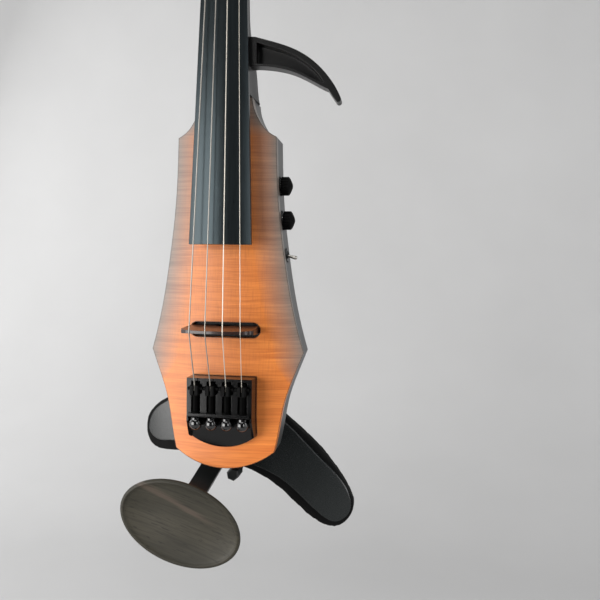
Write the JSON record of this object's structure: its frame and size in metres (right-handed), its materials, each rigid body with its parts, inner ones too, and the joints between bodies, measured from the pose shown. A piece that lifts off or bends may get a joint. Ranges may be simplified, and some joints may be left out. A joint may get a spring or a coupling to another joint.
{
  "type": "electric violin",
  "caption": "Headless solid-body electric violin: arched flamed top, fretless board, tail tuners turned by hand, side controls, horn, swivelling chin rest and shoulder rest.",
  "frame": {"origin": "middle of the bridge's crown, where the strings bear", "axes": "+Z along the strings to the head, +X to the treble side, +Y from the bridge crown into the body towards the back"},
  "size_m": [0.1669, 0.104, 0.5138],
  "materials": {
    "body_wood": "satin",
    "flamed_top": "satin",
    "neck_wood": "satin",
    "ebony": "satin",
    "bridge_wood": "satin",
    "chin_wood": "matte",
    "black_plastic": "matte",
    "knob_black": "satin",
    "wire_plastic": "satin",
    "board_green": "satin",
    "capacitor_blue": "gloss",
    "black_steel": "satin",
    "tuner_black": "gloss",
    "horn_black": "satin",
    "rest_black": "satin",
    "pad_rubber": "matte",
    "steel": "satin",
    "string_steel": "satin",
    "brass": "satin"
  },
  "bodies": {
    "instrument": {"body_core": "body_wood", "top_plate": "flamed_top", "cavity_cover": "black_plastic", "small_screws": "black_steel", "neck": "neck_wood", "truss_rod": "steel", "fingerboard": "ebony", "nut": "ebony", "string_anchor": "black_steel", "bridge": "bridge_wood", "bridge_seat": "black_plastic", "pickup_elements": "brass", "tuner_housing": "tuner_black", "machine_screws": "black_steel", "volume_pot": "steel", "tone_pot": "steel", "control_nuts": "black_steel", "toggle_switch": "black_steel", "preamp_board": "board_green", "storage_capacitor": "capacitor_blue", "output_jack": "black_steel", "wiring": "wire_plastic", "horn": "horn_black", "chin_bracket": "black_steel", "chin_pivot_screw": "black_steel", "lock_bolt": "steel", "lock_thumb_nut": "black_steel", "shoulder_flange": "black_steel", "wood_screws": "black_steel", "clamp_screw": "black_steel", "string_1": "string_steel", "string_2": "string_steel", "string_3": "string_steel", "string_4": "string_steel"},
    "tuner_1": {"lead_screw_1": "black_steel", "tuner_knob_1": "tuner_black"},
    "string_jaw_1": {"jaw_1": "black_steel"},
    "tuner_2": {"lead_screw_2": "black_steel", "tuner_knob_2": "tuner_black"},
    "string_jaw_2": {"jaw_2": "black_steel"},
    "tuner_3": {"lead_screw_3": "black_steel", "tuner_knob_3": "tuner_black"},
    "string_jaw_3": {"jaw_3": "black_steel"},
    "tuner_4": {"lead_screw_4": "black_steel", "tuner_knob_4": "tuner_black"},
    "string_jaw_4": {"jaw_4": "black_steel"},
    "volume": {"volume_shaft": "steel", "volume_knob": "knob_black"},
    "tone": {"tone_shaft": "steel", "tone_knob": "knob_black"},
    "toggle": {"toggle_lever": "steel"},
    "chin_arm": {"chin_arm": "black_steel", "tilt_pin": "steel"},
    "chin_rest": {"chin_plate": "chin_wood", "tilt_bracket": "black_steel", "tilt_screws": "black_steel"},
    "shoulder_post": {"shoulder_post": "steel", "rest_screw": "black_steel"},
    "shoulder_rest": {"rest_plate": "rest_black", "rest_pad": "pad_rubber"}
  },
  "joints": [
    {"name": "tuner_1_turn", "type": "hinge", "parent": "instrument", "child": "tuner_1", "pos_m": [-0.016, 0.0147, -0.062], "axis": [0, 0, 1], "range_deg": [-5657.2, 925.8]},
    {"name": "jaw_1_slide", "type": "slide", "parent": "instrument", "child": "string_jaw_1", "axis": [0, 0, 1], "range_m": [-0.011, 0.0018]},
    {"name": "tuner_2_turn", "type": "hinge", "parent": "instrument", "child": "tuner_2", "pos_m": [-0.0053, 0.0147, -0.062], "axis": [0, 0, 1], "range_deg": [-5657.2, 925.8]},
    {"name": "jaw_2_slide", "type": "slide", "parent": "instrument", "child": "string_jaw_2", "axis": [0, 0, 1], "range_m": [-0.011, 0.0018]},
    {"name": "tuner_3_turn", "type": "hinge", "parent": "instrument", "child": "tuner_3", "pos_m": [0.0053, 0.0147, -0.062], "axis": [0, 0, 1], "range_deg": [-5657.2, 925.8]},
    {"name": "jaw_3_slide", "type": "slide", "parent": "instrument", "child": "string_jaw_3", "axis": [0, 0, 1], "range_m": [-0.011, 0.0018]},
    {"name": "tuner_4_turn", "type": "hinge", "parent": "instrument", "child": "tuner_4", "pos_m": [0.016, 0.0147, -0.062], "axis": [0, 0, 1], "range_deg": [-5657.2, 925.8]},
    {"name": "jaw_4_slide", "type": "slide", "parent": "instrument", "child": "string_jaw_4", "axis": [0, 0, 1], "range_m": [-0.011, 0.0018]},
    {"name": "volume_turn", "type": "hinge", "parent": "instrument", "child": "volume", "pos_m": [0.04, 0.042, 0.0985], "axis": [1, 0, 0], "range_deg": [-150, 150]},
    {"name": "tone_turn", "type": "hinge", "parent": "instrument", "child": "tone", "pos_m": [0.04, 0.042, 0.075], "axis": [1, 0, 0], "range_deg": [-150, 150]},
    {"name": "toggle_flip", "type": "hinge", "parent": "instrument", "child": "toggle", "pos_m": [0.0379, 0.042, 0.0513], "axis": [0, -1, 0], "range_deg": [0, 26]},
    {"name": "chin_swivel", "type": "hinge", "parent": "instrument", "child": "chin_arm", "pos_m": [-0.011, 0.0626, -0.086], "axis": [0, 1, 0], "range_deg": [-7, 7]},
    {"name": "chin_tilt", "type": "hinge", "parent": "chin_arm", "child": "chin_rest", "pos_m": [-0.01995, 0.0185, -0.1219], "axis": [0.9703, 0, -0.2419], "range_deg": [-8, 8]},
    {"name": "shoulder_height", "type": "slide", "parent": "instrument", "child": "shoulder_post", "axis": [0, 1, 0], "range_m": [0, 0.01]},
    {"name": "shoulder_swivel", "type": "hinge", "parent": "shoulder_post", "child": "shoulder_rest", "pos_m": [0.003, 0.073, -0.06], "axis": [0, 1, 0], "range_deg": [-15, 15]}
  ],
  "couplings": [
    {"joint": "tuner_1_turn", "follows": "jaw_1_slide", "rad_per_m": 8976},
    {"joint": "tuner_2_turn", "follows": "jaw_2_slide", "rad_per_m": 8976},
    {"joint": "tuner_3_turn", "follows": "jaw_3_slide", "rad_per_m": 8976},
    {"joint": "tuner_4_turn", "follows": "jaw_4_slide", "rad_per_m": 8976}
  ]
}
